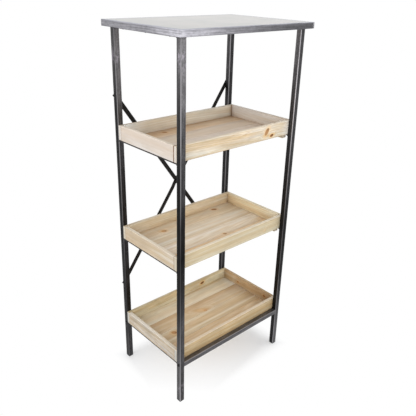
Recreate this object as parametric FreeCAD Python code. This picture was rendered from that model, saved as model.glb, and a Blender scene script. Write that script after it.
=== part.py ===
"""Shelving unit of square steel tube: an X-braced frame, a metal-clad top and three loose pine trays.

Frame: X runs along the width, Y from front to back, Z up. The origin is on the floor, under the
middle of the unit. All sizes are in millimetres.
"""
import FreeCAD, Part
import math
import os

Vector = FreeCAD.Vector
X_AXIS = Vector(1, 0, 0)
Y_AXIS = Vector(0, 1, 0)
Z_AXIS = Vector(0, 0, 1)

# Overall frame
FRAME_WIDTH = 692.0         # outside of the legs, side to side
FRAME_DEPTH = 454.0         # outside of the legs, front to back
UNIT_HEIGHT = 1705.0        # floor to the upper face of the top

# Square tube of the legs and rails
TUBE_SIDE = 25.0
TUBE_WALL = 1.5
TUBE_CORNER = 1.5           # outer corner radius

# Plastic foot caps
CAP_THICKNESS = 7.0         # domed head, from the floor to the end of the tube
CAP_SHOULDER_HEIGHT = 2.5   # the dome is lofted in two steps, which meet here
CAP_SHOULDER_SIDE = 21.5
CAP_FOOT_SIDE = 16.0        # width on the floor
CAP_FOOT_CORNER = 4.0       # corner radius on the floor
CAP_PLUG_HEIGHT = 18.0
CAP_PLUG_WALL = 2.0
CAP_PLUG_CLEARANCE = 0.2    # plug to the inside of the tube, on each side

# Flat bars that carry the trays and the top
BAR_WIDTH = 25.0
BAR_THICKNESS = 6.0
BAR_EDGE = 0.8              # chamfer on the long edges

# Trays
TRAY_BOTTOMS = {"bottom": 227.5, "middle": 717.0, "top": 1206.0}
TRAY_HEIGHT = 66.0
TRAY_CLEARANCE = 1.0        # tray to a leg, front and back
RAIL_RISE = 3.0             # top of a rail above the bottom of the tray between the rails
BOARD_THICKNESS = 16.0
BOARD_EDGE = 1.2            # chamfer on the long edges
PLANK_THICKNESS = 10.0
PLANK_COUNT = 4
PLANK_GAP = 1.0
PLANK_EDGE = 0.6            # chamfer on the long edges of a plank
BATTEN_WIDTH = 25.0
BATTEN_THICKNESS = 16.0
BATTEN_SETBACK = 8.0        # batten end behind the face of the front board
BATTEN_CLEARANCE = 1.0      # batten to the side of a shelf bar

# Metal-clad top
TOP_OVERHANG_SIDE = 25.0
TOP_OVERHANG_FRONT = 28.0
TOP_CORE_THICKNESS = 24.0
SKIN_THICKNESS = 1.0
SKIN_HEM = 12.0             # width of the strip folded under the core
SKIN_EDGE = 1.0             # chamfer that stands for the fold's outer radius
SKIN_CORNER = 1.5           # outer radius of the upright corners

# M8 bolts and nuts
BOLT_RADIUS = 4.0
BOLT_HOLE_CLEARANCE = 0.2
BOLT_HEAD_RADIUS = 8.0
BOLT_HEAD_HEIGHT = 4.4
BOLT_SHOULDER_RADIUS = 7.0  # the dome is turned in two cones, which meet here
BOLT_SHOULDER_HEIGHT = 3.0
BOLT_HEAD_FLAT = 4.2        # radius of the flat on the dome
SOCKET_ACROSS_FLATS = 5.0
SOCKET_DEPTH = 2.6
NUT_ACROSS_FLATS = 13.0
NUT_HEIGHT = 6.5
BOLT_END_PAST_NUT = 2.0
PLUG_LENGTH = 20.0          # threaded block in the end of a rail
PLUG_THREAD_LEFT = 5.0      # thread left free past the end of the bolt

# X-brace
BRACE_WIDTH = 20.0
BRACE_THICKNESS = 3.0
BRACE_END = 15.0            # bar past the centre of its end hole
BRACE_BOTTOM = 460.0        # height of the lower end holes
BRACE_TOP = 1391.0          # height of the upper end holes
CRANK_HALF_FLAT = 20.0      # flat of the crank, each side of the crossing
CRANK_RUN = 22.0            # length over which the bar steps out
CRANK_BEND_RADIUS = 6.0

# Worked out from the driving sizes
LEG_X = (FRAME_WIDTH - TUBE_SIDE) / 2
LEG_Y = (FRAME_DEPTH - TUBE_SIDE) / 2
TUBE_INSIDE = TUBE_SIDE - 2 * TUBE_WALL
REAR_FACE = FRAME_DEPTH / 2
BAY_WIDTH = FRAME_WIDTH - 2 * TUBE_SIDE
BAY_DEPTH = FRAME_DEPTH - 2 * TUBE_SIDE
CORE_BOTTOM = UNIT_HEIGHT - SKIN_THICKNESS - TOP_CORE_THICKNESS
LEG_TOP = CORE_BOTTOM - BAR_THICKNESS
RAIL_CENTRE_Z = TRAY_BOTTOMS["bottom"] + RAIL_RISE - TUBE_SIDE / 2
BAR_X = (FRAME_WIDTH - BAR_WIDTH) / 2
BOLT_HOLE_RADIUS = BOLT_RADIUS + BOLT_HOLE_CLEARANCE
BRACE_HALF_SPAN_Z = (BRACE_TOP - BRACE_BOTTOM) / 2
BRACE_CENTRE_Z = (BRACE_TOP + BRACE_BOTTOM) / 2
BRACE_HALF_LENGTH = math.hypot(LEG_X, BRACE_HALF_SPAN_Z)
BRACE_ANGLE = math.degrees(math.atan2(BRACE_HALF_SPAN_Z, LEG_X))

SIDES = {"left": -1, "right": 1}
ENDS = {"front": -1, "rear": 1}
MATCH_TOLERANCE = 1e-6      # for picking edges by direction or height


# Shared shapes

def rounded_rectangle(width, depth, radius):
    """Closed wire in the XY plane, centred on the origin, with arcs of the given corner radius."""
    half_x, half_y = width / 2, depth / 2
    slant = radius * math.sqrt(0.5)
    edges = []
    for quarter in range(4):
        turn = FreeCAD.Rotation(Z_AXIS, 90 * quarter)
        near, far = (half_x, half_y) if quarter % 2 == 0 else (half_y, half_x)
        side_start = Vector(near, -(far - radius), 0)
        side_end = Vector(near, far - radius, 0)
        arc_middle = Vector(near - radius + slant, far - radius + slant, 0)
        arc_end = Vector(near - radius, far, 0)
        edges.append(Part.LineSegment(turn.multVec(side_start), turn.multVec(side_end)).toShape())
        arc = Part.Arc(turn.multVec(side_end), turn.multVec(arc_middle), turn.multVec(arc_end))
        edges.append(arc.toShape())
    return Part.Wire(edges)


def rounded_block(width, depth, radius, height):
    """Upright block with rounded upright corners, its base on Z = 0."""
    return Part.Face(rounded_rectangle(width, depth, radius)).extrude(Z_AXIS * height)


def centred_box(size_x, size_y, size_z, centre_x, centre_y, bottom_z):
    """Box given by its sizes, the middle of its plan and the height of its underside."""
    corner = Vector(centre_x - size_x / 2, centre_y - size_y / 2, bottom_z)
    return Part.makeBox(size_x, size_y, size_z, corner)


def square_tube(length):
    """Length of square tube along Z, centred on the axis, from Z = 0 up."""
    outside = rounded_block(TUBE_SIDE, TUBE_SIDE, TUBE_CORNER, length)
    return outside.cut(centred_box(TUBE_INSIDE, TUBE_INSIDE, length, 0, 0, 0))


def edges_along(shape, axis):
    """Straight edges of the shape that run along the axis."""
    found = []
    for edge in shape.Edges:
        start, end = edge.Vertexes[0].Point, edge.Vertexes[-1].Point
        run = end - start
        if run.Length > 0 and abs(abs(run.dot(axis)) - run.Length) < MATCH_TOLERANCE:
            found.append(edge)
    return found


def eased_box(size_x, size_y, size_z, centre_x, centre_y, bottom_z, axis, chamfer):
    """Box whose four edges along the axis are chamfered."""
    box = centred_box(size_x, size_y, size_z, centre_x, centre_y, bottom_z)
    return box.makeChamfer(chamfer, edges_along(box, axis))


def hexagon_prism(across_flats, height):
    """Upright hexagonal prism, centred on Z, from Z = 0 up."""
    circumradius = across_flats / math.sqrt(3)
    corners = []
    for corner in range(6):
        angle = math.radians(60 * corner)
        corners.append(Vector(circumradius * math.cos(angle), circumradius * math.sin(angle), 0))
    return Part.Face(Part.makePolygon(corners + corners[:1])).extrude(Z_AXIS * height)


def aimed(shape, direction, place):
    """The shape with its Z axis turned to the direction and its origin moved to the place."""
    turned = shape.copy()
    turned.Placement = FreeCAD.Placement(place, FreeCAD.Rotation(Z_AXIS, direction))
    return turned


def drilled(shape, places, direction, radius, depth):
    """The shape with a round hole from each place along the direction."""
    for place in places:
        shape = shape.cut(Part.makeCylinder(radius, depth, place, direction))
    return shape


def button_head_bolt(shank_length):
    """Socket button-head bolt: head above Z = 0, shank below it."""
    outline = [
        Vector(0, 0, -shank_length),
        Vector(BOLT_RADIUS, 0, -shank_length),
        Vector(BOLT_RADIUS, 0, 0),
        Vector(BOLT_HEAD_RADIUS, 0, 0),
        Vector(BOLT_SHOULDER_RADIUS, 0, BOLT_SHOULDER_HEIGHT),
        Vector(BOLT_HEAD_FLAT, 0, BOLT_HEAD_HEIGHT),
        Vector(0, 0, BOLT_HEAD_HEIGHT),
    ]
    wire = Part.makePolygon(outline + outline[:1])
    bolt = Part.Face(wire).revolve(Vector(0, 0, 0), Z_AXIS, 360)
    socket = hexagon_prism(SOCKET_ACROSS_FLATS, SOCKET_DEPTH)
    socket.translate(Z_AXIS * (BOLT_HEAD_HEIGHT - SOCKET_DEPTH))
    return bolt.cut(socket)


def hexagon_nut():
    """Hexagon nut on Z = 0, bored to the bolt's size."""
    nut = hexagon_prism(NUT_ACROSS_FLATS, NUT_HEIGHT)
    return nut.cut(Part.makeCylinder(BOLT_RADIUS, NUT_HEIGHT))


# Legs and feet

def leg(side, end):
    """Leg with the rail bolt's holes through it and, at the rear, the brace holes in its back wall."""
    centre_x, centre_y = side * LEG_X, end * LEG_Y
    tube = square_tube(LEG_TOP - CAP_THICKNESS)
    tube.translate(Vector(centre_x, centre_y, CAP_THICKNESS))
    rail_hole = Vector(centre_x - TUBE_SIDE / 2, centre_y, RAIL_CENTRE_Z)
    tube = drilled(tube, [rail_hole], X_AXIS, BOLT_HOLE_RADIUS, TUBE_SIDE)
    if end > 0:
        brace_holes = [Vector(centre_x, centre_y, height) for height in (BRACE_BOTTOM, BRACE_TOP)]
        tube = drilled(tube, brace_holes, Y_AXIS, BOLT_HOLE_RADIUS, TUBE_SIDE)
    return tube


def cap_head():
    """Domed head of a foot cap, as wide as the tube above and narrower on the floor."""
    shoulder_corner = (CAP_FOOT_CORNER + TUBE_CORNER) / 2
    foot = rounded_rectangle(CAP_FOOT_SIDE, CAP_FOOT_SIDE, CAP_FOOT_CORNER)
    shoulder = rounded_rectangle(CAP_SHOULDER_SIDE, CAP_SHOULDER_SIDE, shoulder_corner)
    rim = rounded_rectangle(TUBE_SIDE, TUBE_SIDE, TUBE_CORNER)
    shoulder.translate(Z_AXIS * CAP_SHOULDER_HEIGHT)
    rim.translate(Z_AXIS * CAP_THICKNESS)
    return Part.makeLoft([foot, shoulder, rim], True, True)


def foot_cap(side, end):
    """Cap in the open end of a leg: a domed head on the floor and a hollow plug above it."""
    plug_side = TUBE_INSIDE - 2 * CAP_PLUG_CLEARANCE
    plug = centred_box(plug_side, plug_side, CAP_PLUG_HEIGHT, 0, 0, CAP_THICKNESS)
    bore_side = plug_side - 2 * CAP_PLUG_WALL
    plug = plug.cut(centred_box(bore_side, bore_side, CAP_PLUG_HEIGHT, 0, 0, CAP_THICKNESS))
    cap = cap_head().fuse(plug).removeSplitter()
    cap.translate(Vector(side * LEG_X, end * LEG_Y, 0))
    return cap


# Rails, their threaded plugs and bolts

def rail(end):
    """Tube between the two legs of one end, its top level with the underside of the bottom tray."""
    start = Vector(-BAY_WIDTH / 2, end * LEG_Y, RAIL_CENTRE_Z)
    return aimed(square_tube(BAY_WIDTH), X_AXIS, start)


def rail_plugs():
    """Threaded block in each end of each rail."""
    blocks = []
    for side in SIDES.values():
        for end in ENDS.values():
            block = centred_box(TUBE_INSIDE, TUBE_INSIDE, PLUG_LENGTH, 0, 0, 0)
            block = block.cut(Part.makeCylinder(BOLT_RADIUS, PLUG_LENGTH))
            place = Vector(side * BAY_WIDTH / 2, end * LEG_Y, RAIL_CENTRE_Z)
            blocks.append(aimed(block, X_AXIS * -side, place))
    return Part.makeCompound(blocks)


def rail_bolts():
    """Bolt from the outer side of each leg into the plug of its rail."""
    bolts = []
    for side in SIDES.values():
        for end in ENDS.values():
            bolt = button_head_bolt(TUBE_SIDE + PLUG_LENGTH - PLUG_THREAD_LEFT)
            place = Vector(side * FRAME_WIDTH / 2, end * LEG_Y, RAIL_CENTRE_Z)
            bolts.append(aimed(bolt, X_AXIS * side, place))
    return Part.makeCompound(bolts)


# Flat bars

def shelf_bar(side, tray_bottom):
    """Bar between the front and rear legs of one side, under the end of a tray."""
    return eased_box(BAR_WIDTH, BAY_DEPTH, BAR_THICKNESS, side * BAR_X, 0,
                     tray_bottom - BAR_THICKNESS, Y_AXIS, BAR_EDGE)


def top_bar(side):
    """Bar across the ends of the front and rear legs of one side, under the top."""
    return eased_box(BAR_WIDTH, FRAME_DEPTH, BAR_THICKNESS, side * BAR_X, 0,
                     LEG_TOP, Y_AXIS, BAR_EDGE)


# Top

TOP_WIDTH = FRAME_WIDTH + 2 * TOP_OVERHANG_SIDE
TOP_DEPTH = FRAME_DEPTH + 2 * TOP_OVERHANG_FRONT
TOP_THICKNESS = TOP_CORE_THICKNESS + 2 * SKIN_THICKNESS


def top_core():
    """Board that fills the inside of the folded skin."""
    radius = SKIN_CORNER - SKIN_THICKNESS
    block = rounded_block(TOP_WIDTH - 2 * SKIN_THICKNESS, TOP_DEPTH - 2 * SKIN_THICKNESS,
                          radius, TOP_CORE_THICKNESS)
    block.translate(Z_AXIS * CORE_BOTTOM)
    return block


def top_skin():
    """Sheet folded down over the core's edges and hemmed under it, open in the middle below."""
    outside = rounded_block(TOP_WIDTH, TOP_DEPTH, SKIN_CORNER, TOP_THICKNESS)
    rims = [edge for edge in outside.Edges if edge.BoundBox.ZLength < MATCH_TOLERANCE]
    outside = outside.makeChamfer(SKIN_EDGE, rims)
    outside.translate(Z_AXIS * (UNIT_HEIGHT - TOP_THICKNESS))
    opening = centred_box(TOP_WIDTH - 2 * SKIN_HEM, TOP_DEPTH - 2 * SKIN_HEM, TOP_THICKNESS / 2,
                          0, 0, UNIT_HEIGHT - TOP_THICKNESS)
    return outside.cut(top_core()).cut(opening)


# X-brace behind the rear legs

def drilled_brace(bar):
    """Bar with its two end holes and its centre hole."""
    stations = (-BRACE_HALF_LENGTH, 0, BRACE_HALF_LENGTH)
    holes = [Vector(station, 0, 0) for station in stations]
    return drilled(bar, holes, Y_AXIS, BOLT_HOLE_RADIUS, 2 * BRACE_THICKNESS)


def straight_bar():
    """Flat bar along X, with its front face on Y = 0."""
    reach = BRACE_HALF_LENGTH + BRACE_END
    return drilled_brace(centred_box(2 * reach, BRACE_THICKNESS, BRACE_WIDTH,
                                     0, BRACE_THICKNESS / 2, -BRACE_WIDTH / 2))


def cranked_bar():
    """Flat bar along X that steps out by its own thickness at the middle, with rounded bends."""
    reach = BRACE_HALF_LENGTH + BRACE_END
    step = BRACE_THICKNESS
    foot = CRANK_HALF_FLAT + CRANK_RUN
    shift = BRACE_THICKNESS * math.tan(math.atan2(step, CRANK_RUN) / 2)
    front = [(-reach, 0), (-foot, 0), (-CRANK_HALF_FLAT, step),
             (CRANK_HALF_FLAT, step), (foot, 0), (reach, 0)]
    back = [(reach, 0), (foot + shift, 0), (CRANK_HALF_FLAT + shift, step),
            (-CRANK_HALF_FLAT - shift, step), (-foot - shift, 0), (-reach, 0)]
    points = [Vector(x, y, -BRACE_WIDTH / 2) for x, y in front]
    points += [Vector(x, y + BRACE_THICKNESS, -BRACE_WIDTH / 2) for x, y in back]
    profile = Part.Face(Part.makePolygon(points + points[:1]))
    bar = profile.extrude(Z_AXIS * BRACE_WIDTH)
    bends = [edge for edge in edges_along(bar, Z_AXIS)
             if abs(edge.Vertexes[0].X) < BRACE_HALF_LENGTH]
    return drilled_brace(bar.makeFillet(CRANK_BEND_RADIUS, bends))


def brace_crossing():
    """Middle of the crossing, in the plane of the legs' rear faces."""
    return Vector(0, REAR_FACE, BRACE_CENTRE_Z)


def placed_brace(bar, angle):
    """Bar turned in the plane of the legs' rear faces and moved to the crossing."""
    bar.Placement = FreeCAD.Placement(brace_crossing(), FreeCAD.Rotation(Y_AXIS, angle))
    return bar


def brace_corners():
    """Middle of each brace end hole, on the rear face of its leg."""
    return [Vector(side * LEG_X, REAR_FACE, height)
            for side in SIDES.values() for height in (BRACE_BOTTOM, BRACE_TOP)]


def brace_bolts():
    """Bolt through each end of the two bars into its leg, and one through their crossing."""
    corner_grip = BRACE_THICKNESS + TUBE_WALL + NUT_HEIGHT
    centre_grip = 2 * BRACE_THICKNESS + NUT_HEIGHT
    bolts = []
    for corner in brace_corners():
        bolt = button_head_bolt(corner_grip + BOLT_END_PAST_NUT)
        bolts.append(aimed(bolt, Y_AXIS, corner + Y_AXIS * BRACE_THICKNESS))
    centre_bolt = button_head_bolt(centre_grip + BOLT_END_PAST_NUT)
    bolts.append(aimed(centre_bolt, Y_AXIS, brace_crossing() + Y_AXIS * 2 * BRACE_THICKNESS))
    return Part.makeCompound(bolts)


def brace_nuts():
    """Nut welded inside the back wall of the leg at each end, and one in front of the crossing."""
    nuts = [aimed(hexagon_nut(), -Y_AXIS, corner - Y_AXIS * TUBE_WALL) for corner in brace_corners()]
    nuts.append(aimed(hexagon_nut(), -Y_AXIS, brace_crossing()))
    return Part.makeCompound(nuts)


# Trays

TRAY_DEPTH = BAY_DEPTH - 2 * TRAY_CLEARANCE
TRAY_INNER_WIDTH = FRAME_WIDTH - 2 * BOARD_THICKNESS
TRAY_INNER_DEPTH = TRAY_DEPTH - 2 * BOARD_THICKNESS
PLANK_WIDTH = (TRAY_INNER_DEPTH - (PLANK_COUNT - 1) * PLANK_GAP) / PLANK_COUNT


def long_board(end, bottom):
    """Front or rear board, over the full width of the tray."""
    centre_y = end * (TRAY_DEPTH - BOARD_THICKNESS) / 2
    return eased_box(FRAME_WIDTH, BOARD_THICKNESS, TRAY_HEIGHT, 0, centre_y, bottom,
                     X_AXIS, BOARD_EDGE)


def end_board(side, bottom):
    """Side board, between the front and rear boards."""
    centre_x = side * (FRAME_WIDTH - BOARD_THICKNESS) / 2
    return eased_box(BOARD_THICKNESS, TRAY_INNER_DEPTH, TRAY_HEIGHT, centre_x, 0, bottom,
                     Y_AXIS, BOARD_EDGE)


def floor_plank(index, bottom):
    """One plank of the floor, counted from the front, inside the four boards."""
    front_edge = -TRAY_INNER_DEPTH / 2 + index * (PLANK_WIDTH + PLANK_GAP)
    return eased_box(TRAY_INNER_WIDTH, PLANK_WIDTH, PLANK_THICKNESS, 0,
                     front_edge + PLANK_WIDTH / 2, bottom, X_AXIS, PLANK_EDGE)


def batten(side, bottom):
    """Batten under the floor that drops in beside the shelf bar."""
    outer_face = FRAME_WIDTH / 2 - BAR_WIDTH - BATTEN_CLEARANCE
    centre_x = side * (outer_face - BATTEN_WIDTH / 2)
    return eased_box(BATTEN_WIDTH, TRAY_DEPTH - 2 * BATTEN_SETBACK, BATTEN_THICKNESS, centre_x, 0,
                     bottom - BATTEN_THICKNESS, Y_AXIS, BOARD_EDGE)


def tray_nodes(level, bottom):
    """Every piece of one tray, by node name."""
    pieces = {}
    for end_name, end in ENDS.items():
        pieces[f"tray_{level}_{end_name}_board"] = long_board(end, bottom)
    for side_name, side in SIDES.items():
        pieces[f"tray_{level}_{side_name}_board"] = end_board(side, bottom)
        pieces[f"tray_{level}_{side_name}_batten"] = batten(side, bottom)
    for index in range(PLANK_COUNT):
        pieces[f"tray_{level}_floor_plank_{index + 1}"] = floor_plank(index, bottom)
    return pieces


def frame_nodes():
    """Every piece of the frame and the top, by node name."""
    pieces = {
        "rail_plugs": rail_plugs(),
        "rail_bolts": rail_bolts(),
        "top_core": top_core(),
        "top_skin": top_skin(),
        "brace_straight_bar": placed_brace(straight_bar(), BRACE_ANGLE),
        "brace_cranked_bar": placed_brace(cranked_bar(), -BRACE_ANGLE),
        "brace_bolts": brace_bolts(),
        "brace_nuts": brace_nuts(),
    }
    for end_name, end in ENDS.items():
        pieces[f"{end_name}_rail"] = rail(end)
        for side_name, side in SIDES.items():
            pieces[f"leg_{end_name}_{side_name}"] = leg(side, end)
            pieces[f"foot_cap_{end_name}_{side_name}"] = foot_cap(side, end)
    for side_name, side in SIDES.items():
        pieces[f"top_bar_{side_name}"] = top_bar(side)
        for level, bottom in TRAY_BOTTOMS.items():
            pieces[f"shelf_bar_{level}_{side_name}"] = shelf_bar(side, bottom)
    return pieces


nodes = frame_nodes()
for tray_level, tray_bottom in TRAY_BOTTOMS.items():
    nodes.update(tray_nodes(tray_level, tray_bottom))

os.makedirs("parts", exist_ok=True)
for node_name, node_shape in nodes.items():
    node_shape.exportStep(f"parts/{node_name}.step")
print(len(nodes), "nodes written")
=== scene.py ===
import math

import bpy
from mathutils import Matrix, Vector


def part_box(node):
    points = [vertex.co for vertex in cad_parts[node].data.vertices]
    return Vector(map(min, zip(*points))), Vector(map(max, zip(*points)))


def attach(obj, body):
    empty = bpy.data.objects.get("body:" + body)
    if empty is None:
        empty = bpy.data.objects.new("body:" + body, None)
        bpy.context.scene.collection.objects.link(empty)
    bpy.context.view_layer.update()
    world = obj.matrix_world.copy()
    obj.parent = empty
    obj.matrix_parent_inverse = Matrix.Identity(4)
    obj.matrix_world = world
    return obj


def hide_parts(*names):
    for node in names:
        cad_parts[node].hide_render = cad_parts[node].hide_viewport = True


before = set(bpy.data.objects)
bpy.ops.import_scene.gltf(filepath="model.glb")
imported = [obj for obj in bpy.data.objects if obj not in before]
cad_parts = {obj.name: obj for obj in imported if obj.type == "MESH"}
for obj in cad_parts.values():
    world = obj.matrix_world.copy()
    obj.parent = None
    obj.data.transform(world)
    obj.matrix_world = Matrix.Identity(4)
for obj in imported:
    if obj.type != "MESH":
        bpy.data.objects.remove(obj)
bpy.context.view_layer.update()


# Camera: a tall viewer standing off the front left corner, 2.3 m from the middle of the unit,
# looking down at it through a normal lens.

CAMERA_PLACE = (-1.5404, -1.6819, 1.8713)
CAMERA_ANGLES = (65.841, -1.377, -42.103)
CAMERA_LENS = 44.63

camera_data = bpy.data.cameras.new("camera")
camera_data.lens = CAMERA_LENS
camera_data.clip_end = 60
camera = bpy.data.objects.new("camera", camera_data)
camera.location = CAMERA_PLACE
camera.rotation_euler = [math.radians(angle) for angle in CAMERA_ANGLES]
bpy.context.scene.collection.objects.link(camera)
bpy.context.scene.camera = camera
bpy.context.scene.view_settings.view_transform = "Standard"


# Studio: a white floor that runs out into the white of the room, whose pale walls give most of
# the light, with a broad soft lamp on the left and another in front.

WHITE = (1.0, 1.0, 1.0, 1.0)
FLOOR_SHADE = (0.845, 0.868, 0.902, 1.0)
FLOOR_RADIUS = 9.0
FLOOR_GAP = 0.0005
SHADOW_AREA = (0.346, 0.227)
SHADOW_FADE = 0.06
PAINTED_SIDE_LIGHT = (-0.465, 0.12)
ROOM_WALLS = 1.45
ROOM_CEILING = 0.5
CEILING_STARTS = (0.5, 0.85)
LAMP_STRENGTH = 0.5
LAMP_WIDTH = 60


def plug(socket, value):
    """Puts a number, a colour or another node's output on an input."""
    if isinstance(value, bpy.types.NodeSocket):
        socket.id_data.links.new(value, socket)
    else:
        socket.default_value = value


def new_node(kind, *beside, **inputs):
    """Node with inputs filled by name, in the tree of the outputs that it stands beside or takes in."""
    outputs = [value for value in (*beside, *inputs.values()) if isinstance(value, bpy.types.NodeSocket)]
    node = outputs[0].id_data.nodes.new(kind)
    for name, value in inputs.items():
        plug(node.inputs[name], value)
    return node


def sums(operation, *values):
    """Output of a Math node."""
    node = new_node("ShaderNodeMath", *values)
    node.operation = operation
    for socket, value in zip(node.inputs, values):
        plug(socket, value)
    return node.outputs["Value"]


def spread(value, low, high, start, end, way="LINEAR"):
    """The value's range from low to high, laid over the range from start to end."""
    node = new_node("ShaderNodeMapRange", value)
    node.interpolation_type = way
    for socket, setting in zip(node.inputs, (value, low, high, start, end)):
        plug(socket, setting)
    return node.outputs["Result"]


def step_up(value, low, high):
    """0 below low, 1 above high, smooth between them."""
    return spread(value, low, high, 0.0, 1.0, "SMOOTHSTEP")


def axes_of(direction):
    """The three axes of a place or a direction."""
    return new_node("ShaderNodeSeparateXYZ", Vector=direction).outputs


def end_in(output, amount, first, second):
    """Ends a tree in two shaders mixed by the amount."""
    mix = new_node("ShaderNodeMixShader", amount)
    for socket, value in zip(mix.inputs, (amount, first, second)):
        plug(socket, value)
    new_node(output, Surface=mix.outputs["Shader"])


bpy.ops.mesh.primitive_circle_add(vertices=96, radius=FLOOR_RADIUS, fill_type="NGON",
                                  location=(0, 0, -FLOOR_GAP))
floor = bpy.context.active_object
floor.name = "floor"
floor_material = bpy.data.materials.new("studio_floor")
floor_material.use_nodes = True
floor_nodes = floor_material.node_tree.nodes
floor_nodes.clear()
floor_axes = axes_of(floor_nodes.new("ShaderNodeTexCoord").outputs["Object"])
floor_past = [sums("SUBTRACT", sums("ABSOLUTE", floor_axes[axis]), half_side)
              for axis, half_side in zip("XY", SHADOW_AREA)]
floor_fade = step_up(sums("MAXIMUM", *floor_past), -SHADOW_FADE, SHADOW_FADE)
# Painted light: the floor glows more towards the front left, lightening the unit's shadow there.
floor_painted_side_light = spread(sums("ADD", floor_axes["X"], floor_axes["Y"]), *PAINTED_SIDE_LIGHT, 1.0, 0.0)
floor_lit = sums("MAXIMUM", floor_fade, floor_painted_side_light)
floor_matt = new_node("ShaderNodeBsdfDiffuse", floor_lit, Color=FLOOR_SHADE)
floor_glow = new_node("ShaderNodeEmission", floor_lit, Color=WHITE, Strength=1.0)
end_in("ShaderNodeOutputMaterial", floor_lit, floor_matt.outputs["BSDF"], floor_glow.outputs["Emission"])
floor.data.materials.append(floor_material)

room = bpy.data.worlds.new("room")
bpy.context.scene.world = room
room.use_nodes = True
room_nodes = room.node_tree.nodes
room_nodes.clear()
room_height = axes_of(room_nodes.new("ShaderNodeTexCoord").outputs["Generated"])["Z"]
room_level = spread(room_height, *CEILING_STARTS, ROOM_WALLS, ROOM_CEILING, "SMOOTHSTEP")
room_light = new_node("ShaderNodeBackground", Color=WHITE, Strength=room_level)
room_white = new_node("ShaderNodeBackground", room_level, Color=WHITE, Strength=1.0)
room_rays = room_nodes.new("ShaderNodeLightPath").outputs
room_seen = sums("MAXIMUM", room_rays["Is Camera Ray"], room_rays["Is Glossy Ray"])
room_seen = sums("MAXIMUM", room_seen, room_rays["Is Transmission Ray"])
end_in("ShaderNodeOutputWorld", room_seen, room_light.outputs["Background"], room_white.outputs["Background"])

for lamp_name, lamp_place in (("sun_left", (-3.6, -0.4, 1.4)), ("sun_front", (-0.4, -3.6, 1.4))):
    lamp_data = bpy.data.lights.new(lamp_name, "SUN")
    lamp_data.energy = LAMP_STRENGTH
    lamp_data.angle = math.radians(LAMP_WIDTH)
    lamp = bpy.data.objects.new(lamp_name, lamp_data)
    lamp.location = lamp_place
    lamp_tilt = math.atan2(math.hypot(lamp_place[0], lamp_place[1]), lamp_place[2])
    lamp.rotation_euler = (lamp_tilt, 0, math.atan2(lamp_place[1], lamp_place[0]) + math.pi / 2)
    bpy.context.scene.collection.objects.link(lamp)


# Legs: four lengths of square steel tube, blackened and then rubbed back by hand, so that the
# rounded corners show bright metal, with a painted highlight on the corner at the highlit side. The
# greys along each face paint the reflections and shade that fall on it. Their ends are closed by
# the foot caps and the top bars.

TUBE_WALL = 0.0015
TUBE_CORNER = 0.0008
RUBBED_CORNER = (0.0086, 0.011)
TONED_LENGTH = 1.7
NOISE_RANGE = (0.3, 0.7)
SAME = 1e-6


def midway(low, high):
    """Middle of the box between two corners."""
    return [(near + far) / 2 for near, far in zip(low, high)]


def cuboid(name, low, high):
    """Block between two corners, with its object at the origin."""
    bpy.ops.object.select_all(action="DESELECT")
    bpy.ops.mesh.primitive_cube_add(size=1, location=midway(low, high))
    piece = bpy.context.active_object
    piece.name = name
    piece.scale = [far - near for near, far in zip(low, high)]
    bpy.ops.object.transform_apply(location=True, rotation=True, scale=True)
    return piece


def pick(piece, edges=None, faces=None):
    """Goes into edit mode with only the wanted edges picked, told by their two ends, or only the
    wanted faces, told by their middle and normal."""
    bpy.context.view_layer.objects.active = piece
    bpy.ops.object.mode_set(mode="EDIT")
    bpy.ops.mesh.select_mode(type="EDGE" if edges else "FACE")
    bpy.ops.mesh.select_all(action="DESELECT")
    bpy.ops.object.mode_set(mode="OBJECT")
    points = piece.data.vertices
    if edges:
        for edge in piece.data.edges:
            start, end = (points[index].co for index in edge.vertices)
            edge.select = edges(start, end)
    else:
        for face in piece.data.polygons:
            face.select = faces(face.center, face.normal)
    bpy.ops.object.mode_set(mode="EDIT")


def rounded(piece, edges, radius, steps):
    """Rounds the wanted edges."""
    pick(piece, edges=edges)
    bpy.ops.mesh.bevel(offset=radius, segments=steps, affect="EDGES")
    bpy.ops.object.mode_set(mode="OBJECT")


def runs_along(axis):
    """Test for an edge that runs along an axis, 0 for X, 1 for Y and 2 for Z."""
    others = [other for other in range(3) if other != axis]
    return lambda start, end: all(abs(start[other] - end[other]) < SAME for other in others)


def thickened(piece, wall):
    """Gives a shell its wall, inwards."""
    bpy.ops.object.mode_set(mode="OBJECT")
    modifier = piece.modifiers.new("wall", "SOLIDIFY")
    modifier.thickness = wall
    modifier.offset = -1
    bpy.ops.object.modifier_apply(modifier=modifier.name)


def only(*pieces):
    """Selects these pieces alone, the first of them active."""
    bpy.ops.object.select_all(action="DESELECT")
    for piece in pieces:
        piece.select_set(True)
    bpy.context.view_layer.objects.active = pieces[0]


def fit(piece, material, body, slot, *stands_for):
    """Smooths the piece's roundings, gives it its finish and joins it to its body."""
    only(piece)
    bpy.ops.object.shade_smooth_by_angle(angle=math.radians(35))
    piece.data.materials.clear()
    piece.data.materials.append(material)
    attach(piece, body)
    if stands_for:
        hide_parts(*stands_for)


def srgb(red, green, blue):
    """Colour as it is read off a screen, 0 to 255, in the linear values that the shader takes."""
    linear = [shade / 255 / 12.92 if shade <= 10 else ((shade / 255 + 0.055) / 1.055) ** 2.4
              for shade in (red, green, blue)]
    return (*linear, 1.0)


def new_finish(name):
    """Material, its one shader, and the place on the piece, which its patterns follow."""
    material = bpy.data.materials.new(name)
    material.use_nodes = True
    nodes = material.node_tree.nodes
    return material, nodes["Principled BSDF"], nodes.new("ShaderNodeTexCoord").outputs["Object"]


def product(first, *others):
    """Values multiplied together."""
    for other in others:
        first = sums("MULTIPLY", first, other)
    return first


def inverse(value):
    """1 where the value is 0, and 0 where it is 1."""
    return sums("SUBTRACT", 1.0, value)


def off(value, place):
    """How far the value is from a place, on either side."""
    return sums("ABSOLUTE", sums("SUBTRACT", value, place))


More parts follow.
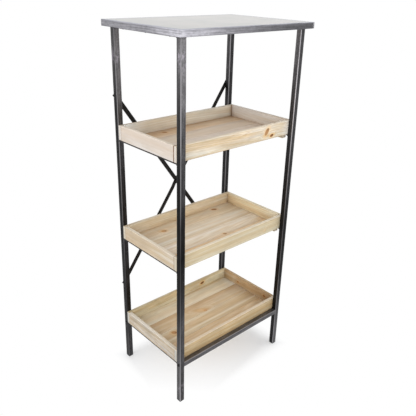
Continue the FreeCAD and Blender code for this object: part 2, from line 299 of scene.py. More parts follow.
def cells(along, lengthwise, crosswise):
    """Cells per metre of a noise that is drawn out along an axis."""
    return [lengthwise if axis == along else crosswise for axis in "XYZ"]


def grain_noise(place, stretch, detail, roughness, shift=(0, 0, 0)):
    """Noise from 0 to 1; stretch is its cells per metre, one number or one each for X, Y and Z."""
    scale = stretch if isinstance(stretch, (list, tuple)) else (stretch,) * 3
    mapping = new_node("ShaderNodeMapping", Vector=place, Scale=scale, Location=shift)
    noise = new_node("ShaderNodeTexNoise", Vector=mapping.outputs["Vector"], Scale=1.0, Detail=detail,
                     Roughness=roughness)
    return noise.outputs["Fac"]


def drift(noise, start, end):
    """A noise laid over the range from start to end."""
    return spread(noise, *NOISE_RANGE, start, end)


def blended(amount, first, second, way="MIX"):
    """Two colours mixed by the amount."""
    node = new_node("ShaderNodeMix", amount, first, second)
    node.data_type = "RGBA"
    node.blend_type = way
    plug(node.inputs["Factor"], amount)
    for socket, value in zip([socket for socket in node.inputs if socket.type == "RGBA"], (first, second)):
        plug(socket, value)
    return [output for output in node.outputs if output.type == "RGBA"][0]


def shade_ramp(value, stops):
    """Colour ramp; each stop is a position and a screen grey, 0 to 255."""
    node = new_node("ShaderNodeValToRGB", value)
    ramp = node.color_ramp
    while len(ramp.elements) < len(stops):
        ramp.elements.new(0.5)
    for element, (position, grey) in zip(ramp.elements, sorted(stops)):
        element.position = position
        element.color = srgb(grey, grey, grey)
    plug(node.inputs["Fac"], value)
    return node.outputs["Color"]


def shaded(colour, value, stops):
    """A colour darkened by a ramp of greys."""
    return blended(1.0, colour, shade_ramp(value, stops), "MULTIPLY")


def coat(shader, colour, roughness, metallic=0.0, gloss=0.5):
    """Puts a finish on its shader."""
    plug(shader.inputs["Base Color"], colour)
    plug(shader.inputs["Roughness"], roughness)
    shader.inputs["Metallic"].default_value = metallic
    shader.inputs["Specular IOR Level"].default_value = gloss


def bumped(shader, height, strength, distance):
    """Small relief on the surface."""
    bump = new_node("ShaderNodeBump", Height=height, Strength=strength, Distance=distance)
    plug(shader.inputs["Normal"], bump.outputs["Normal"])


def rubbed_steel(node, along, painted_tones, seed, highlit_side, scuffs):
    """Blackened tube rubbed bright on its corners, with painted reflections, shade and a highlight.

    along is the tube's axis. painted_tones hold the stops of the faces on the first and on the second
    of the other two axes, and of the corners, over the tube's length; they paint the reflections and
    shade along it. highlit_side is the side of each of those axes whose corner carries the painted
    highlight on its rubbed metal. A scuff is its place along the tube, its reach and how strong it is.
    """
    material, shader, place = new_finish("steel_" + node)
    axes = axes_of(place)
    middle = dict(zip("XYZ", midway(*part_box(node))))
    first, second = [axis for axis in "XYZ" if axis != along]
    off_first, off_second = [off(axes[axis], middle[axis]) for axis in (first, second)]
    on_first_face = sums("GREATER_THAN", off_first, off_second)
    corner = step_up(sums("MINIMUM", off_first, off_second), *RUBBED_CORNER)
    length = product(axes[along], 1 / TONED_LENGTH)
    if along != "Z":
        length = sums("ADD", length, 0.5)
    streaks = grain_noise(place, cells(along, 5, 160), 4.0, 0.6, (seed, 0, 0))
    patches = grain_noise(place, cells(along, 14, 60), 3.0, 0.6, (0, seed, 0))
    specks = grain_noise(place, 170, 3.0, 0.7, (0, 0, seed))
    mottle = sums("ADD", product(streaks, 0.55), product(patches, 0.9))
    faces = blended(on_first_face, shade_ramp(length, painted_tones[1]), shade_ramp(length, painted_tones[0]))
    faces = shaded(faces, mottle, [(0.42, 140), (0.72, 188), (1.0, 245)])
    faces = shaded(faces, specks, [(0.35, 205), (0.65, 255)])
    for scuff_place, reach, amount in scuffs:
        near = inverse(step_up(off(axes[along], scuff_place), 0.0, reach))
        scratches = grain_noise(place, (110, 110, 45), 4.0, 0.65, (seed, 4, 0))
        mark = product(near, step_up(scratches, 0.48, 0.62))
        faces = blended(product(mark, amount), faces, srgb(226, 220, 230))
    # Painted highlight on worn metal: the rub shows fully only on the corner at the highlit side.
    highlit_corner = [sums("GREATER_THAN", product(axes[axis], side), middle[axis] * side)
               for axis, side in zip((first, second), highlit_side)]
    share = spread(product(*highlit_corner), 0.0, 1.0, 0.12, 1.0)
    rub_and_highlight = product(corner, share, step_up(streaks, 0.22, 0.46))
    colour = blended(rub_and_highlight, faces, shade_ramp(length, painted_tones[2]))
    colour = blended(1.0, colour, srgb(253, 250, 255), "MULTIPLY")
    coat(shader, colour, drift(patches, 0.38, 0.55), metallic=1.0)
    bumped(shader, streaks, 0.25, 0.0004)
    return material


def square_tube(node, painted_tones, seed, highlit_side, scuffs=()):
    """Rolled tube with rounded corners, open at its ends, in the place of a node."""
    low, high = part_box(node)
    sides = [far - near for near, far in zip(low, high)]
    axis = sides.index(max(sides))
    tube = cuboid(node + "_tube", low, high)
    rounded(tube, runs_along(axis), TUBE_CORNER, 5)
    pick(tube, faces=lambda middle, normal: abs(normal[axis]) > 0.9)
    bpy.ops.mesh.delete(type="FACE")
    thickened(tube, TUBE_WALL)
    steel = rubbed_steel(node, "XYZ"[axis], painted_tones, seed, highlit_side, scuffs)
    fit(tube, steel, "frame", "tube_steel", node)


# Painted reflections and shade: each leg's greys up its length, on its two faces and its corners.
leg_painted_tones = {
    "leg_front_left": (
        [(0.0, 118), (0.14, 126), (0.22, 98), (0.3, 44), (0.45, 15), (0.56, 18), (0.68, 40), (0.82, 90),
         (0.96, 162)],
        [(0.0, 100), (0.1, 108), (0.26, 116), (0.34, 78), (0.46, 34), (0.56, 60), (0.64, 98), (0.8, 142),
         (0.96, 206)],
        [(0.0, 178), (0.16, 132), (0.28, 98), (0.38, 68), (0.46, 60), (0.54, 84), (0.6, 120), (0.7, 142),
         (0.82, 168), (0.96, 154)]),
    "leg_rear_left": (
        [(0.0, 72), (0.2, 40), (0.35, 26), (0.6, 28), (0.8, 48), (0.96, 122)],
        [(0.0, 100), (0.2, 74), (0.4, 84), (0.62, 78), (0.78, 134), (0.96, 180)],
        [(0.0, 96), (0.2, 56), (0.4, 92), (0.62, 132), (0.8, 150), (0.96, 124)]),
    "leg_front_right": (
        [(0.0, 66), (0.18, 66), (0.3, 57), (0.43, 66), (0.62, 72), (0.75, 94), (0.85, 128), (0.96, 172)],
        [(0.0, 142), (0.1, 128), (0.18, 84), (0.26, 46), (0.42, 36), (0.62, 76), (0.8, 98), (0.96, 110)],
        [(0.0, 150), (0.2, 118), (0.3, 102), (0.45, 92), (0.62, 146), (0.8, 214), (0.96, 190)]),
    "leg_rear_right": (
        [(0.0, 56), (0.3, 52), (0.6, 64), (0.8, 76), (0.96, 128)],
        [(0.0, 84), (0.3, 66), (0.6, 62), (0.96, 84)],
        [(0.0, 120), (0.3, 110), (0.62, 135), (0.96, 160)]),
}
leg_scuffs = {"leg_front_left": [(1.6, 0.06, 0.42), (0.08, 0.05, 0.2)],
              "leg_rear_left": [(1.56, 0.05, 0.35)]}
for index, (leg, painted_tones) in enumerate(leg_painted_tones.items()):
    square_tube(leg, painted_tones, 3.7 * index, (-1, -1), leg_scuffs.get(leg, ()))


# Foot caps: black moulded plastic, one pushed into the open lower end of each leg.
# A domed head as wide as the tube carries the leg, and a hollow plug grips inside it.

CAP_HEAD = 0.007
CAP_DOME = ((0.025, 0.0052), (0.0244, 0.0036), (0.0228, 0.002), (0.0202, 0.0008), (0.016, 0.0))
CAP_PLUG_SIDE = 0.0216
CAP_PLUG_WALL = 0.002
CAP_PLUG_HEIGHT = 0.018


def copied(pattern, name, shift, turn=(0, 0, 0)):
    """Copy with its own mesh, turned about the origin and then moved."""
    only(pattern)
    bpy.ops.object.duplicate(linked=False)
    twin = bpy.context.active_object
    twin.name = name
    twin.rotation_euler = turn
    twin.location = shift
    bpy.ops.object.transform_apply(location=True, rotation=True, scale=True)
    return twin


def clouded(name, size, steps, dark, light, roughness, metallic=0.0, gloss=0.5, noise=(4.0, 0.6), seed=0.0,
            grit=None):
    """Finish that drifts in small clouds between two tones and two roughnesses.

    size is the clouds' cells per metre, steps where in them the tone changes, and noise their detail
    and roughness. grit is the cells per metre and the strength of a fine relief.
    """
    material, shader, place = new_finish(name)
    clouds = grain_noise(place, size, *noise, (seed, 0, 0))
    colour = blended(step_up(clouds, *steps), srgb(*dark), srgb(*light))
    coat(shader, colour, drift(clouds, *roughness), metallic, gloss)
    if grit:
        grains, strength = grit
        bumped(shader, grain_noise(place, grains, 2.0, 0.5), strength, 0.0002)
    return material


def drawn_out(height, narrowing):
    """Extrudes the picked face upward by the height and scales it about the cap's own axis."""
    bpy.ops.mesh.extrude_region_move(TRANSFORM_OT_translate={"value": (0, 0, height)})
    bpy.ops.transform.resize(value=(narrowing, narrowing, 1), center_override=(0, 0, 0))


cap_black = clouded("cap_black", 120, (0.45, 0.75), (24, 24, 26), (50, 50, 52), (0.42, 0.6), gloss=0.25,
                    grit=(1500, 0.15))
cap_width, cap_shoulder = CAP_DOME[0]
cap_half = cap_width / 2
cap = cuboid("foot_cap", (-cap_half, -cap_half, cap_shoulder), (cap_half, cap_half, CAP_HEAD))
rounded(cap, runs_along(2), TUBE_CORNER, 5)
pick(cap, faces=lambda middle, normal: normal[2] < -0.99)
for (side_above, step_above), (side_below, step_below) in zip(CAP_DOME, CAP_DOME[1:]):
    drawn_out(step_below - step_above, side_below / side_above)
pick(cap, faces=lambda middle, normal: normal[2] > 0.99)
drawn_out(0, CAP_PLUG_SIDE / cap_width)
drawn_out(CAP_PLUG_HEIGHT, 1)
drawn_out(0, 1 - 2 * CAP_PLUG_WALL / CAP_PLUG_SIDE)
drawn_out(-CAP_PLUG_HEIGHT, 1)
bpy.ops.object.mode_set(mode="OBJECT")
for leg in leg_painted_tones:
    node = leg.replace("leg", "foot_cap")
    cap_x, cap_y, _ = midway(*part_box(node))
    fit(copied(cap, node + "_moulding", (cap_x, cap_y, 0)), cap_black, "frame", "cap_plastic", node)
bpy.data.objects.remove(cap)


# Rails: two lengths of the same rubbed tube between the legs, just under the bottom tray.
# A threaded block pressed into each end takes the bolt that comes through the leg.

# Painted reflections and shade, as on the legs; the top and bottom faces are painted lighter against the
# shade under the bottom tray.
rail_painted_tones = ([(0.0, 130), (0.3, 142), (0.7, 138), (1.0, 121)],
              [(0.0, 172), (0.5, 164), (1.0, 155)],
              [(0.0, 160), (0.5, 148), (1.0, 120)])
square_tube("front_rail", rail_painted_tones, 21.0, (-1, 1))
square_tube("rear_rail", rail_painted_tones, 27.0, (1, 1))


def dress(node, material):
    """Puts one material on every slot of a CAD node."""
    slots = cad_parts[node].data.materials
    if not slots:
        slots.append(material)
    for number in range(len(slots)):
        slots[number] = material


plated_zinc = clouded("plated_zinc", 220, (0.35, 0.65), (150, 150, 148), (182, 180, 170), (0.3, 0.48),
                      metallic=1.0)
dress("rail_plugs", plated_zinc)


# Rail bolts: black M8 button-head bolts with a hexagon socket, one through each leg from the side
# into the end of its rail. The black is an oxide, oily and slightly rubbed.

SIDES = (("left", -1), ("right", 1))
ENDS = (("front", -1), ("rear", 1))
BOLT_HEAD_RADIUS = 0.008
BOLT_HEAD_HEIGHT = 0.0044
BOLT_DOME = 0.0036
BOLT_SHANK_RADIUS = 0.004
BOLT_TIP = 0.0008
SOCKET_CORNERS = 0.0029
SOCKET_DEPTH = 0.0026
EASED_RIM = 0.0003
RAIL_BOLT_LENGTH = 0.04


def rod(name, radius, bottom, top, sides):
    """Round or many-sided rod on the Z axis."""
    bpy.ops.object.select_all(action="DESELECT")
    bpy.ops.mesh.primitive_cylinder_add(vertices=sides, radius=radius, depth=top - bottom,
                                        location=(0, 0, (bottom + top) / 2))
    piece = bpy.context.active_object
    piece.name = name
    bpy.ops.object.transform_apply(location=True, rotation=True, scale=True)
    return piece


def lies_at(height):
    """Test for an edge that lies level at a height."""
    return lambda start, end: all(abs(point[2] - height) < SAME for point in (start, end))


def cut_away(piece, cutter):
    """Takes the cutter's shape out of the piece."""
    only(piece)
    modifier = piece.modifiers.new("cut", "BOOLEAN")
    modifier.operation = "DIFFERENCE"
    modifier.solver = "EXACT"
    modifier.object = cutter
    bpy.ops.object.modifier_apply(modifier=modifier.name)
    bpy.data.objects.remove(cutter)


def joined(pieces, name):
    """Makes one piece of several."""
    only(*pieces)
    bpy.ops.object.join()
    pieces[0].name = name
    return pieces[0]


def button_head_bolt(name, shank_length):
    """Bolt on the Z axis, its domed head above Z = 0 and its shank below."""
    head = rod(name, BOLT_HEAD_RADIUS, 0, BOLT_HEAD_HEIGHT, 48)
    rounded(head, lies_at(BOLT_HEAD_HEIGHT), BOLT_DOME, 7)
    rounded(head, lies_at(0), EASED_RIM, 2)
    socket_floor = BOLT_HEAD_HEIGHT - SOCKET_DEPTH
    cut_away(head, rod("socket", SOCKET_CORNERS, socket_floor, BOLT_HEAD_HEIGHT + 0.001, 6))
    shank = rod("shank", BOLT_SHANK_RADIUS, -shank_length, 0.0, 24)
    rounded(shank, lies_at(-shank_length), BOLT_TIP, 2)
    return joined([head, shank], name)


bolt_black = clouded("bolt_black", 260, (0.42, 0.72), (30, 30, 32), (74, 73, 76), (0.28, 0.45), metallic=1.0)
rail_bolt = button_head_bolt("rail_bolt", RAIL_BOLT_LENGTH)
outer_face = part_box("leg_front_right")[1][0]
for side_name, side in SIDES:
    for end_name, end in ENDS:
        _, rail_y, rail_z = midway(*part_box(f"{end_name}_rail"))
        twin = copied(rail_bolt, f"rail_bolt_{end_name}_{side_name}", (side * outer_face, rail_y, rail_z),
                      (0, side * math.pi / 2, 0))
        fit(twin, bolt_black, "frame", "fastener_steel", "rail_bolts")
bpy.data.objects.remove(rail_bolt)


# Shelf bars and top bars: black-painted flat bar, welded between the legs and across their ends.
# A short bead of weld, rippled like a row of coins, lies under each end of every bar.

WELD_STEP = 0.0019
WELD_SIZE = (0.0017, 0.0024, 0.0021)
WELD_COUNT = 13
WELD_LEAN = 0.35
WELD_Y = 0.2015
WELD_SUNK = 0.0004


def bar_paint(name, shade, seed):
    """Thin black paint on steel bar, greyer where it has been rubbed."""
    dark, light = [[share * part for part in shade] for share in (0.75, 1.35)]
    return clouded(name, 45, (0.35, 0.68), dark, light, (0.4, 0.58), gloss=0.2, noise=(5.0, 0.62), seed=seed,
                   grit=(900, 0.12))


bar_black = bar_paint("bar_black", (40, 37, 36), 0.0)
ripples = []
for step in range(WELD_COUNT):
    bpy.ops.object.select_all(action="DESELECT")
    bpy.ops.mesh.primitive_uv_sphere_add(segments=8, ring_count=6, radius=1)
    ripple = bpy.context.active_object
    wobble = 1 + 0.1 * math.sin(2.3 * step) + 0.06 * math.sin(5.1 * step + 1)
    ripple.scale = [size * wobble for size in WELD_SIZE]
    ripple.rotation_euler = (0, WELD_LEAN, 0)
    ripple.location = ((step - (WELD_COUNT - 1) / 2) * WELD_STEP, 0.0003 * math.sin(1.7 * step), 0)
    bpy.ops.object.transform_apply(location=True, rotation=True, scale=True)
    ripples.append(ripple)
bead = joined(ripples, "weld_bead")
for side_name, _ in SIDES:
    for bar in ("shelf_bar_bottom", "shelf_bar_middle", "shelf_bar_top", "top_bar"):
        node = f"{bar}_{side_name}"
        dress(node, bar_black)
        low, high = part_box(node)
        for end_name, end in ENDS:
            twin = copied(bead, f"{node}_weld_{end_name}",
                          ((low[0] + high[0]) / 2, end * WELD_Y, low[2] - WELD_SUNK))
            fit(twin, bar_black, "frame", "bar_steel")
bpy.data.objects.remove(bead)


# Top: a board folded into a sheet of dull zinc. The sheet turns down over the board's edges, is
# hemmed under them and soldered at the corners; its edges are rubbed and mottled with patina, and
# carry painted shade and a painted highlight at their folds.

(_, _, TOP_LOW), (TOP_X, TOP_Y, TOP_HIGH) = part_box("top_skin")
SHEET_CORNER = 0.0015
SHEET_FOLD = 0.0012
LOWER_FOLD = 0.001
SHEET_THICKNESS = 0.0009
HEM = 0.012

board_material, board_shader, board_place = new_finish("fibre_board")
board_clouds = grain_noise(board_place, 18, 4.0, 0.6)
board_fibres = grain_noise(board_place, 420, 4.0, 0.7)
board_colour = blended(board_clouds, srgb(150, 120, 88), srgb(172, 142, 106))
coat(board_shader, shaded(board_colour, board_fibres, [(0.3, 215), (0.7, 255)]), 0.8)
bumped(board_shader, board_fibres, 0.3, 0.0003)
dress("top_core", board_material)


def zinc_edge(place, below_top, in_from_side, in_from_front, share_across, share_back, blotches):
    """Colour of the folded edge: painted shade deepening towards the rear and the right, rubbed pale at
    its front corners, worn pale with a painted highlight at its fold, and painted shade in its fold lines.
    """
    on_side = sums("LESS_THAN", in_from_side, in_from_front)
    long_streaks = grain_noise(place, (6, 60, 340), 4.0, 0.6)
    cross_streaks = grain_noise(place, (60, 6, 340), 4.0, 0.6, (4, 0, 0))
    streaks = blended(on_side, long_streaks, cross_streaks)
    # Painted shade: the sides darken towards the rear, the front towards the right.
    side_painted_shade = shade_ramp(share_back, [(0.0, 222), (0.18, 206), (0.45, 166), (0.75, 166), (1.0, 166)])
    front_painted_shade = shade_ramp(share_across, [(0.0, 224), (0.14, 206), (0.34, 168), (0.55, 130), (0.8, 101),
                                           (1.0, 90)])
    colour = blended(on_side, front_painted_shade, side_painted_shade)
    colour = blended(1.0, colour, srgb(247, 245, 255), "MULTIPLY")
    colour = shaded(colour, streaks, [(0.34, 176), (0.5, 222), (0.64, 255)])
    colour = shaded(colour, blotches, [(0.34, 212), (0.55, 248), (0.7, 255)])
    # Worn metal with a painted highlight just below the fold.
    fold_rub_and_highlight = product(inverse(step_up(below_top, 0.0018, 0.0042)), step_up(streaks, 0.38, 0.56))
    colour = blended(product(fold_rub_and_highlight, 0.28), colour, srgb(206, 205, 216))
    # Painted shade in the rolled bend below the fold and along the hem at the bottom.
    rolled_shade = product(step_up(below_top, 0.003, 0.0046), inverse(step_up(below_top, 0.0058, 0.0078)))
    hem_shade = step_up(below_top, 0.0226, 0.025)
    painted_shade_lines = sums("ADD", product(rolled_shade, step_up(blotches, 0.34, 0.6)), product(hem_shade, 0.9))
    colour = blended(product(painted_shade_lines, 0.45), colour, srgb(96, 97, 106))
    at_corner = inverse(step_up(sums("MAXIMUM", in_from_side, in_from_front), 0.004, 0.028))
    toward_front = step_up(product(axes_of(place)["Y"], -1.0), -0.1, 0.2)
    corner_rub = product(at_corner, toward_front, step_up(blotches, 0.4, 0.6))
    return blended(product(corner_rub, 0.4), colour, srgb(222, 220, 226))


def zinc_flat(in_from_rim, share_across, clouds, fine_clouds, blotches):
    """Colour of the upper face: softly clouded, with painted shade towards its left side, a grey band
    of patina, and a thin painted shade in the fold at its rim.
    """
    colour = blended(step_up(clouds, 0.35, 0.65), srgb(207, 207, 205), srgb(214, 212, 210))
    colour = shaded(colour, fine_clouds, [(0.3, 244), (0.65, 255)])
    # Painted shade: the face grows darker towards its left side.
    colour = shaded(colour, share_across, [(0.0, 246), (0.4, 255)])
    rim_band = inverse(step_up(in_from_rim, 0.002, drift(fine_clouds, 0.012, 0.042)))
    rim_patina = product(rim_band, step_up(blotches, 0.2, 0.5))
    colour = blended(product(rim_patina, 0.85), colour, srgb(168, 172, 184))
    # Painted shade in the fold at the rim.
    crease_shade = inverse(step_up(in_from_rim, 0.0008, 0.0034))
    return blended(product(crease_shade, 0.55), colour, srgb(128, 129, 140))


def patinated_zinc():
    """Dull zinc sheet, with the soldered mitres of its hem as thin dark lines underneath."""
    material, shader, place = new_finish("patinated_zinc")
    x, y, z = axes_of(place)
    below_top = sums("SUBTRACT", TOP_HIGH, z)
    in_from_side = sums("SUBTRACT", TOP_X, sums("ABSOLUTE", x))
    in_from_front = sums("SUBTRACT", TOP_Y, sums("ABSOLUTE", y))
    share_across = sums("ADD", sums("DIVIDE", x, 2 * TOP_X), 0.5)
    share_back = sums("ADD", sums("DIVIDE", y, 2 * TOP_Y), 0.5)
    blotches = grain_noise(place, (55, 55, 110), 4.0, 0.62, (0, 7, 0))
    clouds = grain_noise(place, 7, 4.0, 0.6)
    fine_clouds = grain_noise(place, 38, 5.0, 0.68)
    edge = zinc_edge(place, below_top, in_from_side, in_from_front, share_across, share_back, blotches)
    in_from_rim = sums("MINIMUM", in_from_side, in_from_front)
    flat = zinc_flat(in_from_rim, share_across, clouds, fine_clouds, blotches)
    colour = blended(step_up(below_top, 0.0002, 0.0016), flat, edge)
    mitre = sums("LESS_THAN", off(in_from_side, in_from_front), 0.0004)
    mitre_line = product(mitre, sums("GREATER_THAN", below_top, 0.0255))
    colour = blended(mitre_line, colour, srgb(70, 70, 74))
    coat(shader, colour, drift(fine_clouds, 0.42, 0.56), metallic=0.35)
    bumped(shader, sums("ADD", clouds, product(fine_clouds, 0.08)), 0.25, 0.002)
    return material


sheet = cuboid("top_skin_sheet", (-TOP_X, -TOP_Y, TOP_LOW), (TOP_X, TOP_Y, TOP_HIGH))
rounded(sheet, runs_along(2), SHEET_CORNER, 4)
rounded(sheet, lies_at(TOP_HIGH), SHEET_FOLD, 4)
rounded(sheet, lies_at(TOP_LOW), LOWER_FOLD, 3)
pick(sheet, faces=lambda middle, normal: normal[2] < -0.99 and middle[2] < TOP_LOW + SAME)
bpy.ops.mesh.inset(thickness=HEM - LOWER_FOLD)
bpy.ops.mesh.delete(type="FACE")
thickened(sheet, SHEET_THICKNESS)
fit(sheet, patinated_zinc(), "frame", "clad_sheet", "top_skin")


# Top screws: black pan-head screws with a cross slot, three up through each top bar into the board.

SCREW_HEAD_RADIUS = 0.0042
SCREW_HEAD_HEIGHT = 0.0024
SCREW_ROUNDING = 0.0016
SLOT_HALVES = ((0.0021, 0.0005), (0.0005, 0.0021))
SLOT_BOTTOM = -0.004
SLOT_TOP = -0.0009
SCREW_ROW = (-0.15, 0.0, 0.15)
SCREW_TURN = 0.7

screw = rod("top_screw", SCREW_HEAD_RADIUS, -SCREW_HEAD_HEIGHT, 0, 32)
rounded(screw, lies_at(-SCREW_HEAD_HEIGHT), SCREW_ROUNDING, 4)
for slot_x, slot_y in SLOT_HALVES:
    cut_away(screw, cuboid("slot", (-slot_x, -slot_y, SLOT_BOTTOM), (slot_x, slot_y, SLOT_TOP)))
for side_name, _ in SIDES:
    low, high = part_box(f"top_bar_{side_name}")
    for number, screw_y in enumerate(SCREW_ROW, start=1):
        twin = copied(screw, f"top_screw_{side_name}_{number}", ((low[0] + high[0]) / 2, screw_y, low[2]),
                      (0, 0, SCREW_TURN * number))
        fit(twin, bolt_black, "frame", "fastener_steel")
bpy.data.objects.remove(screw)


# X-brace: two black flat bars bolted behind the rear legs; the cranked one steps over the other.
# Button-head bolts run into nuts welded inside the legs, and a bolt and nut clamp the crossing.

REAR_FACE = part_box("leg_rear_left")[1][1]
BRACE_THICKNESS = 0.003
BRACE_HEIGHTS = {"low": 0.46, "high": 1.391}
CROSSING_HEIGHT = sum(BRACE_HEIGHTS.values()) / 2
BRACE_BOLT_LENGTH = 0.013
CENTRE_BOLT_LENGTH = 0.0145
NUT_RADIUS = 0.0075
NUT_HEIGHT = 0.0065
NUT_BORE = 0.0041
NUT_ROUNDING = 0.0005
FACING_BACK = (-math.pi / 2, 0, 0)
FACING_FORWARD = (math.pi / 2, 0, 0)

brace_black = bar_paint("brace_black", (17, 16, 16), 5.0)
dress("brace_straight_bar", brace_black)
dress("brace_cranked_bar", brace_black)
brace_bolt = button_head_bolt("brace_bolt", BRACE_BOLT_LENGTH)
brace_ends = [(f"{height_name}_{side_name}", midway(*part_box(f"leg_rear_{side_name}"))[0], height)
              for side_name, _ in SIDES for height_name, height in BRACE_HEIGHTS.items()]
for name, x, z in brace_ends:
    twin = copied(brace_bolt, "brace_bolt_" + name, (x, REAR_FACE + BRACE_THICKNESS, z), FACING_BACK)
    fit(twin, bolt_black, "frame", "fastener_steel", "brace_bolts")
bpy.data.objects.remove(brace_bolt)
centre_bolt = button_head_bolt("centre_bolt", CENTRE_BOLT_LENGTH)
twin = copied(centre_bolt, "brace_bolt_centre", (0, REAR_FACE + 2 * BRACE_THICKNESS, CROSSING_HEIGHT),
              FACING_BACK)
fit(twin, bolt_black, "frame", "fastener_steel", "brace_bolts")
bpy.data.objects.remove(centre_bolt)

nut = rod("brace_nut", NUT_RADIUS, 0, NUT_HEIGHT, 6)
rounded(nut, lambda start, end: abs(start[2] - end[2]) < SAME, NUT_ROUNDING, 2)
cut_away(nut, rod("bore", NUT_BORE, -0.001, NUT_HEIGHT + 0.001, 24))
for name, x, z in brace_ends:
    twin = copied(nut, "brace_nut_" + name, (x, REAR_FACE - TUBE_WALL, z), FACING_FORWARD)
    fit(twin, plated_zinc, "frame", "fastener_steel", "brace_nuts")
twin = copied(nut, "brace_nut_centre", (0, REAR_FACE, CROSSING_HEIGHT), FACING_FORWARD)
fit(twin, bolt_black, "frame", "fastener_steel", "brace_nuts")
bpy.data.objects.remove(nut)


# Trays: three loose boxes of bare planed pine. Four boards are butted and nailed at the corners
# round a floor of four planks, and two battens under the floor drop in beside the shelf bars.

BOARD_ROUNDING = 0.0012
PLANK_ROUNDING = 0.0005
RING_WIDTH = 0.0075
OUTER_END = 0.346
INNER_END = 0.33
INNER_SIDE = 0.185
FLOOR_TOP = 0.01
# A painted highlight along the upper edge of the front and left boards, painted shade along that of the rear
# and right ones.
PAINTED_EDGE_HIGHLIGHT = 0.45
PAINTED_EDGE_SHADE = -0.16
# Battens are a greyer, darker pine, partly painted shade for their place under the tray floors.
BATTEN_TONE_AND_SHADE = (196, 186, 162)


def tinted(tone, *shares):
    """A screen colour with each of its parts taken up or down by a share."""
    return srgb(*[min(250, part * share) for part, share in zip(tone, shares)])


def hypotenuse(first, second):
    """Distance that two distances at right angles make."""
    return sums("SQRT", sums("ADD", product(first, first), product(second, second)))


def knot_shape(along, across, knot):
    """How far a place is from a knot, 1 at its rim, and how far of that lies along it."""
    knot_along, knot_across, long_radius, short_radius, tilt, _ = knot
    lean = math.radians(tilt)
    run = sums("SUBTRACT", along, knot_along)
    rise = sums("SUBTRACT", across, knot_across)
    cosine, sine = math.cos(lean), math.sin(lean)
    run_in = sums("ADD", product(run, cosine / long_radius), product(rise, sine / long_radius))
    rise_in = sums("SUBTRACT", product(rise, cosine / short_radius), product(run, sine / short_radius))
    return hypotenuse(run_in, rise_in), run_in


def knotted(colour, tone, distance, run_in, darkness):
    """Draws a knot: a halo of bent grain, a disc that darkens along the knot, and a dark rim."""
    halo = product(inverse(step_up(distance, 0.8, 2.4)), 0.35 + 0.35 * darkness)
    colour = blended(halo, colour, tinted(tone, 0.92, 0.76, 0.52))
    body = srgb(190 - 66 * darkness, 138 - 62 * darkness, 82 - 50 * darkness)
    core = srgb(146 - 64 * darkness, 90 - 46 * darkness, 44 - 28 * darkness)
    if darkness < 0:
        body = tinted(tone, 0.95, 0.89, 0.82)
        core = tinted(tone, 0.88, 0.78, 0.68)
    wood = blended(step_up(run_in, 0.0, 0.8), body, core)
    disc = product(inverse(step_up(distance, 0.8, 1.1)), 0.72 + 0.24 * darkness)
    colour = blended(disc, colour, wood)
    rim = product(step_up(distance, 0.74, 0.94), inverse(step_up(distance, 0.97, 1.15)))
    return blended(product(rim, 0.45 * darkness), colour, srgb(92, 56, 26))


def marked(colour, tone, axes, facing, unevenness, mark):
    """Band along a line on one face: darker, mostly as painted shade in corners and joints, and paler where
    its strength is below zero.
    """
    face_axis, face_sign, line_axis, line_place, reach, amount = mark
    on_face = sums("GREATER_THAN", product(facing[face_axis], face_sign), 0.5)
    off_line = off(axes[line_axis], line_place)
    laid = product(on_face, inverse(step_up(off_line, 0.0, drift(unevenness, 0.7 * reach, 1.3 * reach))))
    shares = (0.6, 0.47, 0.36) if amount > 0 else (1.04, 1.11, 1.22)
    return blended(product(laid, abs(amount)), colour, tinted(tone, *shares))


